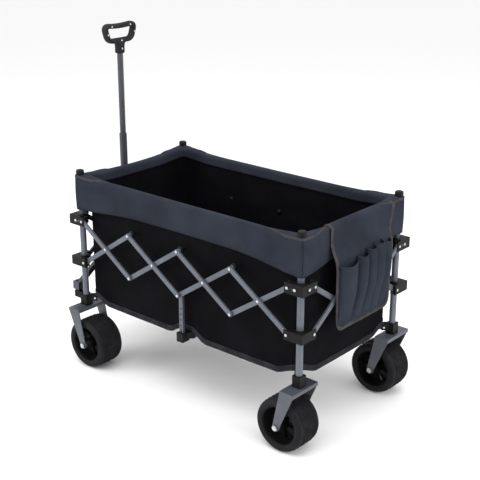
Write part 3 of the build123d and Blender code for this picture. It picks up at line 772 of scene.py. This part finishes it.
FLOOR_CLOTH_Z = 0.2600
MAT_GAP = 0.0015
MAT_Y, MAT_Z = 0.1165, 0.2665
PATTERN_WIDE, PATTERN_DEEP = 0.226, 0.229
MAT_WIDE = {"outer": 0.2185, "middle": 0.2330}
bays = (("front", X_FRONT, X_MID), ("rear", X_MID, X_REAR))
pattern = sewn_pad(PATTERN_WIDE, PATTERN_DEEP)
for bay, x0, x1 in bays:
    hub_x = (x0 + x1) / 2
    for hand, way in (("left", -1), ("right", 1)):
        for end, x_arm in (("outer", x0 if bay == "front" else x1), ("middle", X_MID)):
            arm = "floor_arm_%s_%s" % (bay, hand) if end == "outer" else "floor_arm_mid_%s_%s" % (hand, bay)
            toward = 1 if x_arm > hub_x else -1
            line = Vector((-toward, -way * 1.06, 0)).normalized()
            across = (-line.y, line.x, 0)
            place = Vector((hub_x + toward * (MAT_GAP + MAT_WIDE[end] / 2), way * MAT_Y, MAT_Z))
            pad = pattern.copy()
            pad.data = pattern.data.copy()
            pad.name = "mat_%s_%s_%s" % (bay, hand, end)
            pad.data.name = pad.name
            collection.objects.link(pad)
            for vertex in pad.data.vertices:
                vertex.co.x *= MAT_WIDE[end] / PATTERN_WIDE
                vertex.co += place
            pad.data.materials.clear()
            pad.data.materials.append(mat_cloth)
            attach(pad, arm)
            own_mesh(pad)
            x_wall = X_MID if end == "middle" else x_arm - toward * (WALL_INSET + 0.0005)
            bottom, flat = floor_cloth("tub_floor_%s_%s_%s" % (bay, hand, end), hub_x, x_wall,
                                       way * (HALF_WIDE - WALL_INSET - 0.0005), end == "outer")
            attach(bottom, arm)
            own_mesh(bottom)
            sheets.append((bottom, flat))
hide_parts("floor_mat")
bpy.data.objects.remove(pattern)

# ---------------------------------------------------------------- the pocket panel

PANEL_LEFT = [(0.366, -0.086), (0.3675, -0.096), (0.371, -0.104), (0.378, -0.1105), (0.390, -0.1155), (0.42, -0.118),
              (0.50, -0.120), (0.60, -0.1205), (0.66, -0.119), (0.70, -0.117)]
PANEL_RIGHT = [(0.366, 0.134), (0.3675, 0.143), (0.371, 0.150), (0.378, 0.156), (0.390, 0.1595), (0.42, 0.162),
               (0.50, 0.165), (0.60, 0.174), (0.66, 0.190), (0.70, 0.200)]
PANEL_OUT = [(0.366, 0.0345), (0.50, 0.0350), (0.560, 0.0345), (0.590, 0.0300), (0.620, 0.0150), (0.655, 0.0040),
             (0.690, -0.0030)]
POCKETS = [(-0.1165, -0.022, 0.574, 0.0290), (-0.022, 0.030, 0.582, 0.0270), (0.030, 0.074, 0.592, 0.0250),
           (0.074, 0.118, 0.598, 0.0240), (0.118, 0.160, 0.592, 0.0190)]
POCKET_LOW = 0.384


def panel_point(y, z, rise=0.0):
    out = max(between(z, PANEL_OUT), band_out(HALF_WIDE - abs(y)) + 0.0058)
    out += 0.0014 * ripple(y * 13, z * 10, 41.0) + 0.0006 * ripple(y * 34, z * 26, 43.0)
    return (X_REAR + out + rise, y, z)


def pocket_panel():
    """The backing cloth: from inside the rim, over it, and down outside the rear crossings."""
    rows = []
    heights = [0.3662, 0.3668, 0.3680, 0.3700, 0.3730, 0.3770, 0.3820, 0.3880] + list(np.linspace(0.396, 0.690, 36))
    for z in heights:
        left, right = between(z, PANEL_LEFT), between(z, PANEL_RIGHT)
        rows.append([panel_point(left + (right - left) * u, float(z)) for u in np.linspace(0, 1, 44)])
    for turn, (dx, z) in enumerate(((-0.0055, 0.6965), (-0.0105, 0.6975), (-0.0160, 0.6945), (-0.0185, 0.680),
                                    (-0.0190, 0.664))):
        rows.append([])
        for u in np.linspace(0, 1, 44):
            y = -0.117 + 0.316 * float(u)
            start = band_out(HALF_WIDE - abs(y)) + 0.0045
            rows[-1].append((X_REAR + start + (dx / 0.0190) * (start + 0.0235), y, z + 0.0008))
    panel, flat = lay_cloth("pocket_backing", rows, slate_cloth)
    fold_with_side(panel, "rear")
    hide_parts("pocket_panel")
    grid = np.array(rows)
    count, width = grid.shape[:2]
    edge = [(r, 0) for r in range(count - 1, 0, -1)] + [(0, c) for c in range(0, width, 2)]
    edge += [(0, width - 1)] + [(r, width - 1) for r in range(1, count)]
    down = np.gradient(grid, axis=0)
    across = np.gradient(grid, axis=1)
    face = np.cross(across, down)
    face /= np.linalg.norm(face, axis=2)[:, :, None]
    border = [grid[r, c] + 0.0004 * face[r, c] for r, c in edge]
    binding = sweep("pocket_binding", border, [face[r, c] for r, c in edge], rounded_profile(0.0042, 0.0125),
                    taupe_tape)
    fold_with_side(binding, "rear")
    inside = []
    for (r, c), point in zip(edge, border):
        pull = Vector((0, 0.022 - point[1], 0.53 - min(point[2], 0.69))).normalized() * 0.0045
        inside.append(tuple(point + 0.0022 * face[r, c] + np.array(pull)))
    stitches("pocket_binding_stitches", inside, "rear")
    return panel, flat


def pocket(number, left, right, mouth, depth):
    """An open gusseted pocket, bellied out of the backing, with its mouth bound and its sides sewn down."""
    rows = []
    for share in np.linspace(0, 1, 26):
        z = POCKET_LOW + (mouth - POCKET_LOW) * share
        lean = 0.018 * (1 - share)
        fill = depth * (0.30 + 0.70 * ease(share / 0.55)) * (0.92 + 0.08 * math.sin(math.pi * share))
        foot = 1 - ease((z - POCKET_LOW) / 0.018)
        row = []
        for u in np.linspace(0, 1, 21):
            y = left + (right - left) * u
            y = max(y - lean * (0.0 if number == 0 and u == 0 else (u if number == 0 else 1.0)), -0.1165)
            belly = math.sin(math.pi * u) ** 0.55
            skew = 1 + 0.10 * math.sin(2 * math.pi * u + number)
            rise = 0.0016 + (fill * belly * skew) * (1 - 0.72 * foot)
            rise += 0.0008 * belly * ripple(y * 40, z * 26, 50.0 + number)
            x, _, _ = panel_point(y, z)
            row.append((min(x + rise, X_REAR + 0.0690), y, z - 0.004 * belly * share ** 6))
        rows.append(row)
    cloth, flat = lay_cloth("pocket_%d" % number, rows, slate_cloth, thick=0.0016)
    fold_with_side(cloth, "rear")
    lip = [(x + 0.0004, y, z) for x, y, z in rows[-1]]
    tape = sweep("pocket_lip_%d" % number, lip, [(1, 0, 0)] * len(lip), rounded_profile(0.0030, 0.0070), slate_cloth)
    fold_with_side(tape, "rear")
    below = [(p[0] + 0.0010, p[1], p[2] - 0.009) for p in rows[-1][1:-1]]
    stitches("pocket_lip_stitches_%d" % number, below, "rear", step=0.0055, length=0.0035)
    for label, column in (("left", 0), ("right", -1)):
        seam = [(row[column][0] + 0.0016, row[column][1], row[column][2]) for row in rows]
        stitches("pocket_seam_%d_%s" % (number, label), seam, "rear", step=0.0055, length=0.0035)
    return cloth, flat


panel, panel_flat = pocket_panel()
sheets.append((panel, panel_flat))
for number, (left, right, mouth, depth) in enumerate(POCKETS):
    sheets.append(pocket(number, left, right, mouth, depth))

# ---------------------------------------------------------------- wheels

def ring_surface(profile, segments=96, wave=None):
    """A surface of revolution about Y from (radius, y) pairs, each row shifted by its own wave."""
    points = []
    for k, (r, y) in enumerate(profile):
        for a in np.linspace(0, 2 * math.pi, segments + 1)[:-1]:
            shift = wave(k, a) if wave else 0.0
            points.append((r * math.cos(a), y + shift, r * math.sin(a)))
    return points, grid_faces(len(profile), segments, around=True)


def closing_faces(rows, segments):
    """Faces that join the last row of a ring surface to its first."""
    last = (rows - 1) * segments
    return [(last + c, last + (c + 1) % segments, (c + 1) % segments, c) for c in range(segments)]


def tread_profile():
    """Tyre section from the inner lip of one side over the tread to the other: grooved crown, round shoulders."""
    left = [(0.0645, -0.0460), (0.0655, -0.0490), (0.0680, -0.0500), (0.0720, -0.0500), (0.0770, -0.0496),
            (0.0815, -0.0484), (0.0848, -0.0458), (0.0865, -0.0425), (0.0873, -0.0395)]
    crown = []
    for groove in np.linspace(-0.0330, 0.0330, 9):
        rib = 0.0886 - 0.0009 * (groove / 0.033) ** 2
        crown += [(rib, groove - 0.0027), (rib - 0.0034, groove - 0.0015), (rib - 0.0038, groove),
                  (rib - 0.0034, groove + 0.0015), (rib, groove + 0.0027)]
    right = [(r, -y) for r, y in reversed(left)]
    return left, crown, right


def tyre(name, x, y):
    left, crown, right = tread_profile()
    profile = left + crown + right
    first, last = len(left), len(left) + len(crown)

    def wave(k, a):
        if k < first or k >= last:
            return 0.0
        return 0.0013 * math.sin(11 * a + (k - first) // 5 * 0.9) + 0.0005 * math.sin(29 * a + k // 5)

    inner = [(0.0645, 0.030), (0.0645, -0.030)]
    points, faces = ring_surface(profile + inner, wave=wave)
    faces += closing_faces(len(profile + inner), 96)
    body = new_piece(name, points, faces, rubber)
    face_outwards(body)
    for vertex in body.data.vertices:
        vertex.co += Vector((x, y, WHEEL_Z))
    return body


def block_mesh(name, across, along, high, taper=0.75):
    points = []
    for level, share in ((-high / 2, 1.0), (high / 2, taper)):
        points += [(level, sy * across / 2 * share, sz * along / 2 * share)
                   for sy, sz in ((-1, -1), (1, -1), (1, 1), (-1, 1))]
    faces = [(0, 3, 2, 1), (4, 5, 6, 7)] + [(i, (i + 1) % 4, (i + 1) % 4 + 4, i + 4) for i in range(4)]
    return new_piece(name, points, faces, rubber, smooth=False)


def tread_ring(name, wheel, x, y, across, radius, count, size, twist):
    """One ring of raised tread blocks, laid by the ring tree, as a plain mesh on the wheel."""
    block = block_mesh(name, *size)
    ring = block.modifiers.new("ring", "NODES")
    ring.node_group = tread_rings
    set_inputs(ring, {"Count": count, "Radius": radius, "Across": across, "Twist": twist, "Finish": rubber})
    settle(block)
    for vertex in block.data.vertices:
        vertex.co += Vector((x, y, WHEEL_Z))
    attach(block, wheel)


# A spoke's outer face: places across it, and how far each stands out.
SPOKE_RIBS = ((-1.0, -0.55), (-0.86, 0.55), (-0.16, 0.72), (0.0, 1.0), (0.16, 0.72), (0.86, 0.55), (1.0, -0.55))


def rim(name, x, y):
    """A deep two-sided rim: lip, dished barrel, five ribbed spokes and a stepped hub."""
    half = [(0.0652, 0.0480), (0.0650, 0.0493), (0.0634, 0.0493), (0.0618, 0.0474), (0.0602, 0.0380),
            (0.0585, 0.0240), (0.0560, 0.0150), (0.0545, 0.0110)]
    shape = bmesh.new()

    def put(points, faces):
        made = [shape.verts.new(p) for p in points]
        for face in faces:
            shape.faces.new([made[i] for i in face])

    around = 80
    full = half + [(r, -w) for r, w in reversed(half)] + [(0.0652, -0.040), (0.0652, 0.040)]
    points, faces = ring_surface(full, segments=around)
    faces += closing_faces(len(full), around)
    put(points, faces)
    hub = [(0.0062, 0.0525), (0.0105, 0.0530), (0.0125, 0.0515), (0.0130, 0.0440), (0.0160, 0.0400),
           (0.0172, 0.0260), (0.0200, 0.0150)]
    hub_full = hub + [(r, -w) for r, w in reversed(hub)]
    points, faces = ring_surface(hub_full, segments=48)
    faces += closing_faces(len(hub_full), 48)
    put(points, faces)
    for spoke in range(5):
        turn = 2 * math.pi * spoke / 5 + 0.35
        points = []
        for radius in np.linspace(0.0165, 0.0575, 9):
            t = (radius - 0.0165) / 0.041
            wide = 0.0085 + 0.0175 * t
            swirl = turn + 0.16 * t
            dish = 0.0210 - 0.0070 * t
            for face, ribs in ((1, SPOKE_RIBS), (-1, SPOKE_RIBS[::-1])):
                for across, lift in ribs:
                    angle = swirl + across * wide / radius
                    points.append((radius * math.cos(angle), face * dish * (0.45 + 0.55 * max(lift, 0)),
                                   radius * math.sin(angle)))
        faces = grid_faces(9, 14, around=True) + [tuple(range(14)), tuple(range(8 * 14, 9 * 14))]
        put(points, faces)
    bmesh.ops.recalc_face_normals(shape, faces=shape.faces)
    mesh = bpy.data.meshes.new(name)
    shape.to_mesh(mesh)
    shape.free()
    mesh.materials.append(rim_black)
    for polygon in mesh.polygons:
        polygon.use_smooth = True
    for vertex in mesh.vertices:
        vertex.co += Vector((x, y, WHEEL_Z))
    obj = bpy.data.objects.new(name, mesh)
    collection.objects.link(obj)
    return obj


for wheel, (x, y) in WHEELS.items():
    tread = tyre(wheel + "_tyre", x, y)
    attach(tread, wheel)
    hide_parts(wheel)
    middle = rim(wheel + "_rim", x, y)
    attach(middle, wheel)
    for number, across in enumerate(np.linspace(-0.0289, 0.0289, 8)):
        tread_ring("%s_sipes_%d" % (wheel, number), wheel, x, y, float(across), 0.0884, 26,
                   (0.0012, 0.0120, 0.0011), 0.11 * number)

# ---------------------------------------------------------------- finishes of the hard parts

def centres(obj):
    mesh = obj.data
    found = np.empty(len(mesh.polygons) * 3)
    mesh.polygons.foreach_get("center", found)
    return found.reshape(-1, 3)


def paint(name, finishes, choose):
    """Gives a CAD part its finishes: choose maps the faces' middles to a finish number for each."""
    obj = nodes[name]
    obj.data.materials.clear()
    for finish in finishes:
        obj.data.materials.append(finish)
    obj.data.polygons.foreach_set("material_index", choose(centres(obj)).astype(np.int32))
    obj.data.update()


def outward(side, c):
    if side == "left":
        return -HALF_WIDE - c[:, 1]
    if side == "right":
        return c[:, 1] - HALF_WIDE
    if side == "front":
        return X_FRONT - c[:, 0]
    return c[:, 0] - X_REAR


def bar_faces(side):
    def choose(c):
        out = outward(side, c)
        return (out > 0.02803) | (out < 0.01297)
    return choose


HEAD_R = 0.0047


def rivet_faces(c, x, y, z):
    """Faces of the two pivot rivets of a corner fitting: heads outside its arms and small heads behind them."""
    dx, dy = np.abs(c[:, 0] - x), np.abs(c[:, 1] - y)
    along_x = (np.hypot(dx - SETBACK, c[:, 2] - z) < HEAD_R) & ((dy > 0.03103) & (dy < 0.0335)
                                                                      | (dy > 0.0085) & (dy < 0.0104))
    along_y = (np.hypot(dy - SETBACK, c[:, 2] - z) < HEAD_R) & ((dx > 0.03103) & (dx < 0.0335)
                                                                | (dx > 0.0085) & (dx < 0.0104))
    fixing_x = (np.hypot(dx, c[:, 2] - z) < HEAD_R) & (dy > 0.03103)
    fixing_y = (np.hypot(dy, c[:, 2] - z) < HEAD_R) & (dx > 0.03103)
    return along_x | along_y | fixing_x | fixing_y


def floor_pin_faces(c, x, y):
    """Faces of the pin that carries a floor arm in a post's foot."""
    toward = np.array([-0.240 if x > 0 else 0.240, -math.copysign(HALF_WIDE, y)])
    toward /= np.linalg.norm(toward)
    reach = (c[:, 0] - x) * toward[0] + (c[:, 1] - y) * toward[1]
    aside = np.abs((c[:, 0] - x) * toward[1] - (c[:, 1] - y) * toward[0])
    return (np.hypot(reach - 0.030, c[:, 2] - ARM_Z) < 0.0036) & (aside > 0.0095)


def post_faces(x, y):
    def choose(c):
        radius = np.hypot(c[:, 0] - x, c[:, 1] - y)
        plastic = (radius > 0.0113) | (c[:, 2] > 0.6995)
        silver = rivet_faces(c, x, y, Z_JOINT) | floor_pin_faces(c, x, y)
        return np.where(silver, 2, np.where(plastic, 1, 0))
    return choose


for name, (x, y) in POSTS.items():
    paint(name, (post_grey, joint_black, rivet_zinc), post_faces(x, y))
for name in nodes:
    for side in SIDE_BODY:
        if name.startswith(side + "_fall_") or name.startswith(side + "_rise_"):
            paint(name, (bar_grey, rivet_zinc), bar_faces(side))
for name in nodes:
    if name.startswith("slider_"):
        x, y = POSTS[name.replace("slider", "post")]
        paint(name, (joint_black, rivet_zinc), lambda c: rivet_faces(c, x, y, Z_SLIDER))
    elif name.startswith("floor_arm_"):
        paint(name, (bar_grey, joint_black), lambda c: c[:, 2] > 0.2522)
    elif name.startswith("fork_"):
        x, y = WHEELS[name.replace("fork", "wheel")]
        paint(name, (fork_grey, rivet_zinc),
              lambda c: (np.hypot(c[:, 0] - x, c[:, 2] - WHEEL_Z) < 0.0085) & (np.abs(c[:, 1] - y) > 0.0623))
    elif name.startswith("strut_"):
        paint(name, (bar_grey, joint_black), lambda c: c[:, 2] < 0.2562)
    elif name.startswith("yoke_"):
        paint(name, (joint_black, handle_grey), lambda c: c[:, 2] > 0.262)
    elif name == "handle_outer_tube":
        paint(name, (handle_grey, joint_black), lambda c: c[:, 2] < 0.477)
    elif name == "handle_inner_tube":
        paint(name, (handle_grey,), lambda c: np.zeros(len(c)))

# ---------------------------------------------------------------- small fittings

def round_head(name, side, along, out, z, body, radius=0.0045, high=0.0016):
    """A domed rivet head on the outside of a fitting's arm."""
    rings = [(0.0004, high), (radius * 0.45, high * 0.93), (radius * 0.8, high * 0.6), (radius, high * 0.15),
             (radius, 0.0)]
    points = [on_side(side, along + r * math.cos(a), out + h, z + r * math.sin(a))
              for r, h in rings for a in np.linspace(0, 2 * math.pi, 17)[:-1]]
    faces = grid_faces(len(rings), 16, around=True)
    faces += [tuple(range(16)), tuple(range(len(points) - 16, len(points)))]
    head = new_piece(name, points, faces, rivet_zinc)
    face_outwards(head)
    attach(head, body)
    return head


# ---------------------------------------------------------------- the pull grip

X_HANDLE = -0.524


def grip_loop(corner=0.020, steps=8):
    """Middle line of the closed grip: wider at the top than below, its hand bar dipping a little."""
    corners = [(-0.070, 1.1765), (0.070, 1.1765), (0.054, 1.1235), (-0.054, 1.1235)]
    points = []
    for k, here in enumerate(corners):
        here = Vector(here)
        back = (Vector(corners[k - 1]) - here).normalized()
        ahead = (Vector(corners[(k + 1) % 4]) - here).normalized()
        start, end = here + back * corner, here + ahead * corner
        for t in np.linspace(0, 1, steps):
            points.append((1 - t) ** 2 * start + 2 * t * (1 - t) * here + t * t * end)
        after = Vector(corners[(k + 1) % 4]) - ahead * corner
        for t in np.linspace(0, 1, steps + 2)[1:-1]:
            points.append(end.lerp(after, float(t)))
    dip = [-0.0030 * (1 - (p[0] / 0.05) ** 2) if p[1] > 1.17 and abs(p[0]) < 0.05 else 0.0 for p in points]
    return [(X_HANDLE, p[0], p[1] + d) for p, d in zip(points, dip)]


def grip_neck():
    """The socket between the grip and the tube, flaring up into the lower bar."""
    rings = []
    for z, wide, deep in ((1.0790, 0.0135, 0.0120), (1.0800, 0.0150, 0.0132), (1.0835, 0.0158, 0.0138),
                          (1.1030, 0.0158, 0.0138), (1.1090, 0.0170, 0.0136), (1.1150, 0.0215, 0.0128),
                          (1.1210, 0.0290, 0.0115), (1.1250, 0.0300, 0.0080)):
        for a in np.linspace(0, 2 * math.pi, 33)[:-1]:
            cx = math.copysign(abs(math.cos(a)) ** 0.6, math.cos(a))
            cy = math.copysign(abs(math.sin(a)) ** 0.6, math.sin(a))
            rings.append((X_HANDLE + deep * cx, wide * cy, z))
    faces = grid_faces(8, 32, around=True)
    faces += [tuple(range(32)), tuple(range(7 * 32, 8 * 32))]
    return rings, faces


line = grip_loop()
grip = sweep("pull_grip", line, [(1, 0, 0)] * len(line), rounded_profile(0.0270, 0.0170, steps=4), grip_black,
             closed=True)
smooth = grip.modifiers.new("soften", "SUBSURF")
smooth.levels = smooth.render_levels = 1
settle(grip)
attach(grip, "handle_inner_tube")
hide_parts("handle_grip")
neck_points, neck_faces = grip_neck()
neck = new_piece("pull_grip_neck", neck_points, neck_faces, grip_black)
face_outwards(neck)
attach(neck, "handle_inner_tube")
for number, (y, z, out) in enumerate(((-0.043, 1.1745, 0.0132), (0.043, 1.1745, 0.0132), (-0.0625, 1.148, 0.0132),
                                      (0.0625, 1.148, 0.0132), (0.0, 1.1235, 0.0132), (0.0, 1.095, 0.0136))):
    round_head("grip_screw_%d" % number, "rear", y + HALF_WIDE, X_HANDLE - X_REAR + out, z, "handle_inner_tube",
               radius=0.0034, high=0.0010)

# ---------------------------------------------------------------- stage, lights and camera

floor_mesh = bpy.data.meshes.new("studio_floor")
floor_mesh.from_pydata([(-14, -14, 0), (14, -14, 0), (14, 14, 0), (-14, 14, 0)], [], [(0, 1, 2, 3)])
floor = bpy.data.objects.new("studio_floor", floor_mesh)
collection.objects.link(floor)
floor_finish, floor_tree, floor_shader = new_finish("studio_floor_paint", 0.9, specular=0.1)
floor_shader.inputs["Base Color"].default_value = (0.93, 0.93, 0.93, 1)
floor_mesh.materials.append(floor_finish)

world = bpy.data.worlds.new("studio")
world.use_nodes = True
world.node_tree.nodes["Background"].inputs["Color"].default_value = (1, 1, 1, 1)
world.node_tree.nodes["Background"].inputs["Strength"].default_value = 1.0
bpy.context.scene.world = world


def softbox(name, place, aim, size, power):
    lamp = bpy.data.lights.new(name, "AREA")
    lamp.shape = "RECTANGLE"
    lamp.size, lamp.size_y = size
    lamp.energy = power
    obj = bpy.data.objects.new(name, lamp)
    obj.location = place
    obj.rotation_euler = (Vector(aim) - Vector(place)).to_track_quat("-Z", "Y").to_euler()
    collection.objects.link(obj)
    return obj


softbox("overhead_softbox", (0.3, -0.6, 3.2), (0.0, 0.0, 0.3), (3.0, 3.0), 70)
softbox("left_softbox", (-2.2, -2.6, 1.8), (0.0, 0.0, 0.5), (1.6, 1.8), 45)
softbox("right_softbox", (3.2, 0.6, 1.6), (0.2, 0.0, 0.4), (1.4, 1.8), 35)

camera_lens = bpy.data.cameras.new("studio_camera")
camera_lens.lens = 78.9
camera_lens.sensor_width = 36.0
camera = bpy.data.objects.new("studio_camera", camera_lens)
camera.location = (2.208, -2.520, 1.725)
camera.rotation_mode = "QUATERNION"
level = Euler((math.radians(90 - 20.01), 0, math.radians(40.80))).to_quaternion()
camera.rotation_quaternion = level @ Quaternion((0, 0, 1), math.radians(0.04))
collection.objects.link(camera)
bpy.context.scene.camera = camera

bpy.context.scene.view_settings.view_transform = "Standard"
